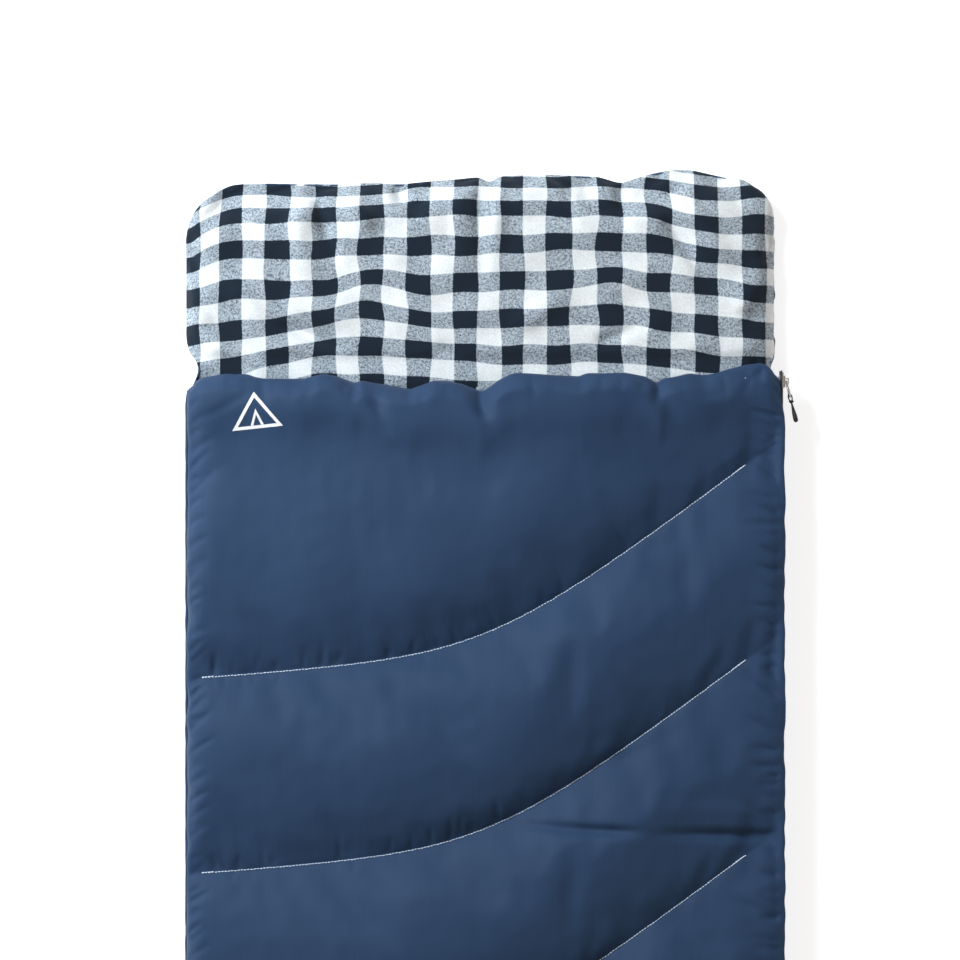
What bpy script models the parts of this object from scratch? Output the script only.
"""Rectangular sleeping bag with an extended head section, lying closed and flat.

Metres, +Z up. +Y points to the head, +X to the side that the zip runs down.
The origin is the middle of the underside, on the surface that the bag lies on.

The bag is three quilted bodies: the back (under) panel, the front (top) panel that
opens like a book about the left seam, and the head section that folds up. Each is an
outer shell, a slab of wadding and a checked liner. An L-shaped zip joins front and back
down the right side and across the foot, with one slider at each of its ends.
"""

import math

import bmesh
import bpy
from mathutils import Matrix, Vector

# Plan of the bag.
HALF_WIDTH = 0.3945
FOOT_Y = -1.0945
MOUTH_Y = 0.840
FOLD_Y = 0.846
HEAD_Y = 1.100
FOOT_RADIUS = 0.060
HEAD_RADIUS = 0.075

# Heights. The seam line is halfway between the two panels.
BACK_TOP = 0.042
SEAM_Z = 0.048
FRONT_RIM = 0.054
FRONT_LOFT = 0.040

# Cloth, wadding and the gaps between neighbouring solids.
SHELL_THICK = 0.0012
LINER_THICK = 0.0012
LINER_INSET = 0.0032
FILL_INSET = 0.0036
FILL_DROP = 0.0062
GAP = 0.0003

# Distances in from the wall at which the rounded edges have rows of vertices.
EDGE_STEPS = (0.0, 0.004, 0.0145, 0.029, 0.0445)
FRONT_REACH = 0.045
BACK_REACH = 0.044
MIDDLE_COLUMNS = (-0.27, -0.18, -0.09, 0.0, 0.09, 0.18, 0.27)

# Quilting: each stitched line is level at the left and sweeps up to the right.
LINE_COUNT = 7
LINE_PITCH = 0.259
FIRST_LINE_LEFT_Y = 0.426
LINE_LEFT_X, LINE_RIGHT_X = -0.374, 0.348
LINE_LEFT_RISE, LINE_EXTRA_RISE = 0.054, 0.480
LINE_BEND_AT, LINE_BEND_SOFTNESS = 0.524, 0.097
LINE_FOOT_MARGIN, LINE_FADE = 0.060, 0.050
PINCH = 0.62
EDGE_FULL = 0.85
THREAD_RADIUS = 0.0008
THREAD_ABOVE_SHELL = 0.0018

# Zip: distances outward from the panel's wall, and heights from the seam line.
TAPE_OUT = (GAP, 0.0013)
TAPE_UP = (0.0008, 0.0140)
COIL_OUT = (0.0016, 0.0040)
COIL_UP = (0.0009, 0.0042)
ZIP_TOP_Y = 0.828
ZIP_END_X = -0.350
TAPE_PAST_COIL = 0.006
STOP_LENGTH = 0.0035
ARC_STEPS = 8

# Slider, in its own frame: X outward from the wall, Y towards the nose, Z up.
SLIDER_TOP_Y = 0.8195
SLIDER_FOOT_X = -0.334
SLIDER_HALF_LENGTH = 0.008
SLIDER_PLATE_HALF_HEIGHT = 0.0065
SLIDER_INNER_HALF_HEIGHT = 0.0050
OUTER_PLATE = (0.0045, 0.0062)
INNER_PLATE = (-0.0022, -0.0002)
FLANGE_BOTTOM = 0.0048
FLANGE_OUT = 0.0017
NECK_HALF_THICK, NECK_LENGTH = 0.0005, 0.0030
SETBACK = 0.0003
PIN_Y, PIN_OUT = 0.0005, 0.0080
BRIDGE_TOP, BRIDGE_THICK, BRIDGE_HALF_WIDTH = 0.0115, 0.0016, 0.0012
BRIDGE_HALF_SPAN = 0.0045

# Pull tab, cord loop and grip, measured from the tab's pin towards the tail.
TAB_THICK = 0.0014
TAB_HALF_WIDTH = 0.0040
TAB_HOLE_AT, TAB_HOLE_RADIUS = 0.0180, 0.0027
TAB_END_RADIUS = 0.0044
TAB_REST_TILT = math.radians(14)
LOOP_RADIUS, LOOP_CORD_RADIUS = 0.0050, 0.0008
GRIP_LENGTH = 0.027

# Left seam, draught tube and label.
PIPING_RADIUS = 0.0045
SEAM_X = -0.395
TUBE_RADIUS = 0.0047
TUBE_X = 0.378
LABEL_SIZE = (0.032, 0.050, 0.0006)
LABEL_PLACE = (-0.352, 0.62)


def clear_scene():
    for thing in list(bpy.data.objects):
        bpy.data.objects.remove(thing, do_unlink=True)


def make_material(name, colour, roughness, metallic=0.0):
    made = bpy.data.materials.new(name)
    made.use_nodes = True
    shader = made.node_tree.nodes["Principled BSDF"]
    shader.inputs["Base Color"].default_value = (*colour, 1.0)
    shader.inputs["Roughness"].default_value = roughness
    shader.inputs["Metallic"].default_value = metallic
    made.diffuse_color = (*colour, 1.0)
    return made


def make_materials():
    return {
        "shell": make_material("navy_polyester", (0.035, 0.075, 0.150), 0.45),
        "liner": make_material("checked_flannel", (0.42, 0.46, 0.50), 0.95),
        "wadding": make_material("white_wadding", (0.85, 0.85, 0.83), 1.0),
        "tape": make_material("zip_tape", (0.020, 0.030, 0.055), 0.85),
        "coil": make_material("zip_coil", (0.018, 0.024, 0.040), 0.40),
        "metal": make_material("nickel", (0.72, 0.71, 0.68), 0.28, 1.0),
        "plastic": make_material("black_plastic", (0.012, 0.012, 0.014), 0.45),
        "cord": make_material("black_cord", (0.015, 0.015, 0.017), 0.80),
        "thread": make_material("white_thread", (0.88, 0.89, 0.90), 0.70),
        "label": make_material("white_label", (0.90, 0.90, 0.88), 0.60),
    }


class Builder:
    """Puts finished objects in the bag's collection, under the empty that they move with."""

    def __init__(self):
        self.materials = make_materials()
        self.collection = bpy.data.collections.new("sleeping_bag")
        bpy.context.scene.collection.children.link(self.collection)

    def empty(self, name, matrix, parent=None):
        made = bpy.data.objects.new(name, None)
        made.empty_display_size = 0.02
        made.parent = parent
        made.matrix_world = matrix
        self.collection.objects.link(made)
        bpy.context.view_layer.update()
        return made

    def place(self, thing, material, parent):
        """Gives the object its material and parent. Its coordinates are the parent's own."""
        for owner in list(thing.users_collection):
            owner.objects.unlink(thing)
        self.collection.objects.link(thing)
        thing.data.materials.clear()
        thing.data.materials.append(self.materials[material])
        thing.parent = parent
        return thing

    def place_in_world(self, thing, material, parent):
        """As place(), for an object whose coordinates are the bag's."""
        self.place(thing, material, parent)
        thing.matrix_parent_inverse = parent.matrix_world.inverted()
        return thing

    def from_bmesh(self, name, mesh_data, material, parent, smooth=True):
        mesh = bpy.data.meshes.new(name)
        mesh_data.to_mesh(mesh)
        mesh_data.free()
        if smooth:
            mesh.shade_smooth()
            mesh.set_sharp_from_angle(angle=math.radians(40))
        thing = bpy.data.objects.new(name, mesh)
        return self.place_in_world(thing, material, parent)


# ---------------------------------------------------------------- quilted panels


def line_y(number, x):
    """Height up the bag of quilting line number (0 is nearest the mouth) at x."""
    along = (x - LINE_LEFT_X) / (LINE_RIGHT_X - LINE_LEFT_X)
    bend = math.log1p(math.exp((along - LINE_BEND_AT) / LINE_BEND_SOFTNESS))
    rise = LINE_LEFT_RISE * along + LINE_EXTRA_RISE * LINE_BEND_SOFTNESS * bend
    return FIRST_LINE_LEFT_Y - number * LINE_PITCH + rise


def row_y(number, x):
    """As line_y(), but held clear of the foot where the last line runs off it."""
    return max(line_y(number, x), FOOT_Y + LINE_FOOT_MARGIN)


def line_full(number, x):
    """How full the quilting is at a line. The last line fades where it meets the foot."""
    above_foot = (line_y(number, x) - FOOT_Y - LINE_FOOT_MARGIN) / LINE_FADE
    return EDGE_FULL + (PINCH - EDGE_FULL) * min(max(above_foot, 0.0), 1.0)


def columns(half_width):
    left = [-half_width + step for step in EDGE_STEPS[:-1]]
    left.append(-HALF_WIDTH + EDGE_STEPS[-1])
    return left + list(MIDDLE_COLUMNS) + [-x for x in reversed(left)]


def round_over(distance, reach):
    """0 at the wall, rising as a quarter circle to 1 at reach."""
    share = min(max(distance / reach, 0.0), 1.0)
    return math.sqrt(1.0 - (1.0 - share) ** 2)


def round_corner(x, y, end_y, inward, radius, half_width):
    """Moves a point of the square grid so that its corner at end_y is an arc. inward is +1 or -1."""
    across = (abs(x) - (half_width - radius)) / radius
    along = 1.0 - (y - end_y) * inward / radius
    if across <= 0 or along <= 0:
        return x, y
    new_across = across * math.sqrt(1 - along * along / 2)
    new_along = along * math.sqrt(1 - across * across / 2)
    new_x = math.copysign(half_width - radius + radius * new_across, x)
    return new_x, end_y + inward * radius * (1 - new_along)


def boundary(rows):
    """The outline of a grid of points, anticlockwise, as (x, y)."""
    right = [row[-1] for row in rows[1:-1]]
    left = [row[0] for row in rows[1:-1]]
    around = [*rows[0], *right, *rows[-1][::-1], *left[::-1]]
    return [point[:2] for point in around]


def loft_grid(rows):
    """A bmesh of quads through rows of points."""
    mesh_data = bmesh.new()
    made = [[mesh_data.verts.new(point) for point in row] for row in rows]
    for lower, upper in zip(made, made[1:]):
        for a, b, c, d in zip(lower, lower[1:], upper[1:], upper):
            mesh_data.faces.new((a, b, c, d))
    mesh_data.normal_update()
    return mesh_data


def close_flat(mesh_data):
    """Closes the open boundary of a slab's curved face, which lies in one plane."""
    edges = [edge for edge in mesh_data.edges if edge.is_boundary]
    bmesh.ops.holes_fill(mesh_data, edges=edges, sides=0)
    bmesh.ops.recalc_face_normals(mesh_data, faces=mesh_data.faces)
    return mesh_data


def front_rows(inset, rim_z=0.0, loft=0.0):
    """Points of the front panel's quilted upper face, its walls moved in by inset."""
    half_width = HALF_WIDTH - inset
    foot, mouth = FOOT_Y + inset, MOUTH_Y - inset
    shares = (0.25, 0.5, 0.75)

    def rows_at(x):
        """(y, how full the quilting is) of each row, from foot to mouth, in column x."""
        found = [(foot + step, EDGE_FULL) for step in EDGE_STEPS[:-1]]
        lower, lower_full = FOOT_Y + EDGE_STEPS[-1], EDGE_FULL
        found.append((lower, lower_full))
        for number in reversed(range(LINE_COUNT)):
            upper, upper_full = row_y(number, x), line_full(number, x)
            found += between(lower, upper, lower_full, upper_full)
            found.append((upper, upper_full))
            lower, lower_full = upper, upper_full
        upper = MOUTH_Y - EDGE_STEPS[-1]
        found += between(lower, upper, lower_full, EDGE_FULL)
        found.append((upper, EDGE_FULL))
        return found + [(mouth - step, EDGE_FULL) for step in EDGE_STEPS[-2::-1]]

    def between(lower, upper, lower_full, upper_full):
        made = []
        for share in shares:
            ends = lower_full + (upper_full - lower_full) * share
            full = ends + (1 - ends) * math.sin(math.pi * share) ** 0.6
            made.append((lower + (upper - lower) * share, full))
        return made

    def point(x, y, full):
        edge = round_over(half_width - abs(x), FRONT_REACH)
        edge *= round_over(y - foot, FRONT_REACH) * round_over(mouth - y, FRONT_REACH)
        new_x, new_y = round_corner(x, y, foot, 1, FOOT_RADIUS - inset, half_width)
        return new_x, new_y, rim_z + loft * edge * full

    by_column = [[point(x, y, f) for y, f in rows_at(x)] for x in columns(half_width)]
    return list(zip(*by_column))


def under_rows(inset, span, rim_z=0.0, depth=0.0):
    """Points of the rounded underside of the back panel or the head, flat in the middle."""
    start_y, end_y, start_radius, end_radius = span
    half_width = HALF_WIDTH - inset
    start, end = start_y + inset, end_y - inset
    middle = (start + end) / 2
    ys = [start + step for step in EDGE_STEPS] + [middle]
    ys += [end - step for step in reversed(EDGE_STEPS)]

    def point(x, y):
        edge = round_over(half_width - abs(x), BACK_REACH)
        edge *= round_over(y - start, BACK_REACH) * round_over(end - y, BACK_REACH)
        place = (x, y)
        if start_radius:
            place = round_corner(*place, start, 1, start_radius - inset, half_width)
        if end_radius:
            place = round_corner(*place, end, -1, end_radius - inset, half_width)
        return *place, rim_z - depth * edge

    return [[point(x, y) for x in columns(half_width)] for y in ys]


def facing_down(mesh_data):
    bmesh.ops.reverse_faces(mesh_data, faces=mesh_data.faces)
    return mesh_data


def make_cloth(builder, name, mesh_data, parent):
    """An outer shell: an open surface thickened inwards."""
    thing = builder.from_bmesh(name, mesh_data, "shell", parent)
    solidify = thing.modifiers.new("cloth", "SOLIDIFY")
    solidify.thickness = SHELL_THICK
    solidify.offset = -1.0
    return thing


def plate(name, outlines, thickness):
    """A flat plate from closed outlines in XY, centred on Z = 0. Inner outlines are holes."""
    curve = bpy.data.curves.new(name, "CURVE")
    curve.dimensions = "2D"
    curve.fill_mode = "BOTH"
    curve.extrude = thickness / 2
    for outline in outlines:
        spline = curve.splines.new("POLY")
        spline.points.add(len(outline) - 1)
        spline.use_cyclic_u = True
        for spline_point, (x, y) in zip(spline.points, outline):
            spline_point.co = (x, y, 0, 1)
    return bpy.data.objects.new(name, curve)


def make_liner(builder, name, rows, low_z, parent):
    thing = plate(name, [boundary(rows)], LINER_THICK)
    thing.location.z = low_z + LINER_THICK / 2
    return builder.place_in_world(thing, "liner", parent)


def make_under_body(builder, prefix, span, parent):
    """Shell, wadding and liner of the back panel or the head section."""
    shell = loft_grid(under_rows(0, span, BACK_TOP, BACK_TOP))
    make_cloth(builder, prefix + "_shell", facing_down(shell), parent)
    fill_top = BACK_TOP - LINER_THICK - GAP
    fill = under_rows(FILL_INSET, span, fill_top, fill_top - SHELL_THICK - 2 * GAP)
    fill_mesh = close_flat(facing_down(loft_grid(fill)))
    builder.from_bmesh(prefix + "_wadding", fill_mesh, "wadding", parent)
    liner = under_rows(LINER_INSET, span)
    make_liner(builder, prefix + "_liner", liner, BACK_TOP - LINER_THICK, parent)


def make_front_body(builder, parent):
    shell = loft_grid(front_rows(0, FRONT_RIM, FRONT_LOFT))
    make_cloth(builder, "front_shell", shell, parent)
    fill = front_rows(FILL_INSET, FRONT_RIM + LINER_THICK + GAP, FRONT_LOFT - FILL_DROP)
    fill_mesh = close_flat(loft_grid(fill))
    builder.from_bmesh("front_wadding", fill_mesh, "wadding", parent)
    make_liner(builder, "front_liner", front_rows(LINER_INSET), FRONT_RIM, parent)


def tube(name, points, radius, sides_resolution=1):
    curve = bpy.data.curves.new(name, "CURVE")
    curve.dimensions = "3D"
    curve.bevel_depth = radius
    curve.bevel_resolution = sides_resolution
    curve.use_fill_caps = True
    spline = curve.splines.new("POLY")
    spline.points.add(len(points) - 1)
    for spline_point, place in zip(spline.points, points):
        spline_point.co = (*place, 1)
    return bpy.data.objects.new(name, curve)


def make_quilting(builder, parent):
    """The lines of thread that hold shell, wadding and liner together on the front."""
    ends = (-HALF_WIDTH + EDGE_STEPS[-1], HALF_WIDTH - EDGE_STEPS[-1])
    stitched = [ends[0], *MIDDLE_COLUMNS, ends[1]]
    for number in range(LINE_COUNT):
        points = []
        for x in stitched:
            y = line_y(number, x)
            if y < FOOT_Y + LINE_FOOT_MARGIN:
                continue
            edge = round_over(HALF_WIDTH - abs(x), FRONT_REACH)
            shell_z = FRONT_RIM + FRONT_LOFT * edge * line_full(number, x)
            points.append((x, y, shell_z + THREAD_ABOVE_SHELL))
        thread = tube(f"quilting_thread_{number + 1}", points, THREAD_RADIUS)
        builder.place_in_world(thread, "thread", parent)


# ------------------------------------------------------------------------- zip


def zip_path(outward, top_y, end_x):
    """The zip's L-shaped way at a distance outward from the wall: side, corner, foot."""
    radius = FOOT_RADIUS + outward
    centre = Vector((HALF_WIDTH - FOOT_RADIUS, FOOT_Y + FOOT_RADIUS))
    points = [(HALF_WIDTH + outward, top_y)]
    for step in range(ARC_STEPS + 1):
        angle = -math.pi / 2 * step / ARC_STEPS
        x = centre.x + radius * math.cos(angle)
        points.append((x, centre.y + radius * math.sin(angle)))
    return points + [(end_x, FOOT_Y - outward)]


def make_zip_strip(builder, name, out_range, up_range, material, parent, side, past=0.0):
    """Tape or coil of one half. side is +1 for the front's half and -1 for the back's."""
    near, far = (zip_path(d, ZIP_TOP_Y + past, ZIP_END_X - past) for d in out_range)
    thing = plate(name, [far + near[::-1]], up_range[1] - up_range[0])
    thing.location.z = SEAM_Z + side * (up_range[0] + up_range[1]) / 2
    return builder.place_in_world(thing, material, parent)


def add_box(mesh_data, low, high):
    """Adds a box between two corners to the bmesh."""
    low, high = Vector(low), Vector(high)
    size = Matrix.Diagonal((*(high - low), 1.0))
    bmesh.ops.create_cube(
        mesh_data, size=1.0, matrix=Matrix.Translation((low + high) / 2) @ size
    )


def box_object(name, low, high, bevel=0.0):
    mesh_data = bmesh.new()
    add_box(mesh_data, low, high)
    mesh = bpy.data.meshes.new(name)
    mesh_data.to_mesh(mesh)
    mesh_data.free()
    thing = bpy.data.objects.new(name, mesh)
    if bevel:
        add_bevel(thing, bevel)
    return thing


def add_bevel(thing, width, segments=2):
    bevel = thing.modifiers.new("edges", "BEVEL")
    bevel.width = width
    bevel.segments = segments
    bevel.limit_method = "ANGLE"


def make_zip_half(builder, half, side, parent):
    make_zip_strip(
        builder,
        f"zip_tape_{half}",
        TAPE_OUT,
        TAPE_UP,
        "tape",
        parent,
        side,
        TAPE_PAST_COIL,
    )
    make_zip_strip(builder, f"zip_coil_{half}", COIL_OUT, COIL_UP, "coil", parent, side)
    near, far = HALF_WIDTH + COIL_OUT[0], HALF_WIDTH + COIL_OUT[1] + GAP
    heights = sorted(SEAM_Z + side * up for up in (COIL_UP[0], COIL_UP[1] + GAP))
    start = ZIP_TOP_Y + GAP
    stop = box_object(
        f"zip_top_stop_{half}",
        (near, start, heights[0]),
        (far, start + STOP_LENGTH, heights[1]),
        0.0004,
    )
    builder.place_in_world(stop, "metal", parent)


def make_zip_end(builder, back, front):
    """The insertion pin on the front's tape, standing in the open box on the back's."""
    wall_y = FOOT_Y - COIL_OUT[0]
    pin = box_object(
        "zip_insertion_pin",
        (ZIP_END_X - 0.0052, wall_y - 0.0024, SEAM_Z - 0.0036),
        (ZIP_END_X - 0.0012, wall_y - 0.0008, SEAM_Z + 0.0040),
        0.0003,
    )
    builder.place_in_world(pin, "metal", front)
    box = box_object(
        "zip_retainer_box",
        (ZIP_END_X - 0.0058, wall_y - 0.0036, SEAM_Z - 0.0056),
        (ZIP_END_X - 0.0004, wall_y, SEAM_Z + 0.0010),
        0.0003,
    )
    builder.place_in_world(box, "metal", back)
    cutter = box_object(
        "retainer_slot_cutter",
        (ZIP_END_X - 0.0080, wall_y - 0.0027, SEAM_Z - 0.0042),
        (ZIP_END_X + 0.0020, wall_y - 0.0005, SEAM_Z + 0.0040),
    )
    hide_cutter(cutter)
    cut = box.modifiers.new("slot", "BOOLEAN")
    cut.operation = "DIFFERENCE"
    cut.object = cutter


def hide_cutter(thing):
    cutters = bpy.data.collections.get("cutters")
    if cutters is None:
        cutters = bpy.data.collections.new("cutters")
        bpy.context.scene.collection.children.link(cutters)
    cutters.objects.link(thing)
    thing.hide_render = True
    thing.display_type = "WIRE"


def slider_body(name):
    """The cast slider: two plates, a thin neck between them, flanges and the bridge."""
    half, high = SLIDER_HALF_LENGTH, SLIDER_PLATE_HALF_HEIGHT
    inner, neck = SLIDER_INNER_HALF_HEIGHT, NECK_HALF_THICK
    buried = (OUTER_PLATE[0] + OUTER_PLATE[1]) / 2
    nose = half - SETBACK
    thing = box_object(
        name, (OUTER_PLATE[0], -half, -high), (OUTER_PLATE[1], half, high), 0.0004
    )
    inner_plate = box_object(
        name + "_inner_plate",
        (INNER_PLATE[0], -half, -inner),
        (INNER_PLATE[1], half, inner),
        0.0004,
    )
    pieces = [inner_plate]
    neck_start = (INNER_PLATE[0] + 2 * SETBACK, nose - NECK_LENGTH, -neck)
    pieces.append(box_object(name + "_neck", neck_start, (buried, nose - SETBACK, neck)))
    for sign in (-1, 1):
        low, top = sorted((sign * FLANGE_BOTTOM, sign * (high - SETBACK)))
        flange = box_object(
            f"{name}_flange_{sign}",
            (FLANGE_OUT, -half + SETBACK, low),
            (buried, half - SETBACK, top),
        )
        pieces.append(flange)
    wide, span, top = BRIDGE_HALF_WIDTH, BRIDGE_HALF_SPAN, BRIDGE_TOP
    bar_start = (top - BRIDGE_THICK, PIN_Y - span, -wide)
    pieces.append(box_object(name + "_bar", bar_start, (top, PIN_Y + span, wide), 0.0004))
    for side in (-1, 1):
        ends = (span - SETBACK, span - BRIDGE_THICK)
        low, high_end = sorted(PIN_Y + side * end for end in ends)
        post = box_object(
            f"{name}_post_{side}",
            (buried, low, -wide + SETBACK),
            (top - BRIDGE_THICK / 2, high_end, wide - SETBACK),
        )
        pieces.append(post)
    for number, piece in enumerate(pieces):
        hide_cutter(piece)
        piece.parent = thing
        join = thing.modifiers.new(f"join_{number}", "BOOLEAN")
        join.operation = "UNION"
        join.object = piece
    return thing


def circle(centre_x, centre_y, radius, count=12, start=0.0, turn=2 * math.pi):
    steps = count if turn > 6.2 else count - 1
    return [
        (
            centre_x + radius * math.cos(start + turn * i / steps),
            centre_y + radius * math.sin(start + turn * i / steps),
        )
        for i in range(count)
    ]


def pull_tab(name):
    """Flat metal tab, pin at the origin, running along +X with its width along Y."""
    half_bar = TAB_THICK / 2
    wide = TAB_HALF_WIDTH
    end = circle(TAB_HOLE_AT, 0, TAB_END_RADIUS, 9, -math.pi / 2, math.pi)
    outline = [(-half_bar, -wide), *end, (-half_bar, wide)]
    window_end = 0.0075
    arm = BRIDGE_HALF_WIDTH + 0.0008
    window = [(half_bar, -arm), (window_end, -arm), (window_end, arm), (half_bar, arm)]
    hole = circle(TAB_HOLE_AT, 0, TAB_HOLE_RADIUS)
    return plate(name, [outline, window, hole], TAB_THICK)


def pull_loop(name):
    """Ring of cord through the tab's hole, which is at the origin. It lies in XZ."""
    turns = 20
    points = []
    for step in range(turns):
        angle = 2 * math.pi * step / turns
        x = LOOP_RADIUS - LOOP_RADIUS * math.cos(angle)
        points.append((x, 0.0, LOOP_RADIUS * math.sin(angle)))
    thing = tube(name, points, LOOP_CORD_RADIUS)
    thing.data.splines[0].use_cyclic_u = True
    thing.data.use_fill_caps = False
    return thing


def pull_grip(name):
    """Moulded grip that widens from the loop to a round end, along +X."""
    sections = ((0.00, 0.0013), (0.15, 0.0021), (0.70, 0.0034), (1.00, 0.0030))
    start = 2 * LOOP_RADIUS + LOOP_CORD_RADIUS + GAP
    mesh_data = bmesh.new()
    rings = []
    for share, half_wide in sections:
        x, half_thick = start + share * GRIP_LENGTH, 0.7 * half_wide
        corners = ((-1, -1), (1, -1), (1, 1), (-1, 1))
        ring = [
            mesh_data.verts.new((x, a * half_wide, b * half_thick)) for a, b in corners
        ]
        rings.append(ring)
    for first, second in zip(rings, rings[1:]):
        for i in range(4):
            j = (i + 1) % 4
            mesh_data.faces.new((first[i], first[j], second[j], second[i]))
    mesh_data.faces.new(rings[0][::-1])
    mesh_data.faces.new(rings[-1])
    bmesh.ops.recalc_face_normals(mesh_data, faces=mesh_data.faces)
    mesh = bpy.data.meshes.new(name)
    mesh_data.to_mesh(mesh)
    mesh_data.free()
    mesh.shade_smooth()
    thing = bpy.data.objects.new(name, mesh)
    smooth = thing.modifiers.new("soft_form", "SUBSURF")
    smooth.levels = smooth.render_levels = 2
    return thing


def make_slider(builder, prefix, frame, parent):
    """A slider with its tab, loop and grip, each under an empty on its own joint's axis."""
    seat = builder.empty(f"{prefix}_slide", frame, parent)
    builder.place(slider_body(f"{prefix}_slider"), "metal", seat)
    # The tab's frame: X towards the tail, Y along the pin, tilted outwards.
    tail_frame = Matrix(((0, 0, 1), (-1, 0, 0), (0, -1, 0))).to_4x4()
    pin = frame @ Matrix.Translation((PIN_OUT, PIN_Y, 0)) @ tail_frame
    pin = pin @ Matrix.Rotation(-TAB_REST_TILT, 4, "Y")
    tab_axis = builder.empty(f"{prefix}_tab_pivot", pin, seat)
    builder.place(pull_tab(f"{prefix}_pull_tab"), "metal", tab_axis)
    hole = pin @ Matrix.Translation((TAB_HOLE_AT, 0, 0))
    grip_axis = builder.empty(f"{prefix}_grip_pivot", hole, tab_axis)
    builder.place(pull_loop(f"{prefix}_pull_cord"), "cord", grip_axis)
    builder.place(pull_grip(f"{prefix}_pull_grip"), "plastic", grip_axis)


# ------------------------------------------------------------------ small parts


def make_small_parts(builder, back, front):
    piping_low, piping_high = FOOT_Y + FOOT_RADIUS + 0.004, MOUTH_Y - 0.004
    seam = [(SEAM_X, piping_low, SEAM_Z), (SEAM_X, piping_high, SEAM_Z)]
    piping = tube("left_seam_piping", seam, PIPING_RADIUS, 4)
    builder.place_in_world(piping, "shell", back)
    tube_z = FRONT_RIM - GAP - TUBE_RADIUS
    run = [(TUBE_X, FOOT_Y + FOOT_RADIUS, tube_z), (TUBE_X, MOUTH_Y - 0.03, tube_z)]
    builder.place_in_world(tube("draught_tube", run, TUBE_RADIUS, 4), "liner", front)
    width, length, thick = LABEL_SIZE
    x, y = LABEL_PLACE
    low = BACK_TOP + GAP
    label = box_object(
        "care_label",
        (x - width / 2, y - length / 2, low),
        (x + width / 2, y + length / 2, low + thick),
    )
    builder.place_in_world(label, "label", back)


def main():
    clear_scene()
    builder = Builder()
    back = builder.empty("back", Matrix.Identity(4))
    seam = Matrix.Translation((SEAM_X, 0, SEAM_Z))
    front = builder.empty("front_opening_axis", seam, back)
    fold = Matrix.Translation((0, FOLD_Y, BACK_TOP))
    head = builder.empty("head_fold_axis", fold, back)

    make_under_body(builder, "back", (FOOT_Y, FOLD_Y - GAP, FOOT_RADIUS, 0), back)
    make_under_body(builder, "head", (FOLD_Y + GAP, HEAD_Y, 0, HEAD_RADIUS), head)
    make_front_body(builder, front)
    make_quilting(builder, front)

    make_zip_half(builder, "front", 1, front)
    make_zip_half(builder, "back", -1, back)
    make_zip_end(builder, back, front)
    side_frame = Matrix.Translation((HALF_WIDTH, SLIDER_TOP_Y, SEAM_Z))
    make_slider(builder, "top", side_frame, back)
    # On the foot the nose points to -X and the slider's outside to -Y.
    foot_turn = Matrix(((0, -1, 0), (-1, 0, 0), (0, 0, -1))).to_4x4()
    foot_frame = Matrix.Translation((SLIDER_FOOT_X, FOOT_Y, SEAM_Z)) @ foot_turn
    make_slider(builder, "foot", foot_frame, back)

    make_small_parts(builder, back, front)


main()
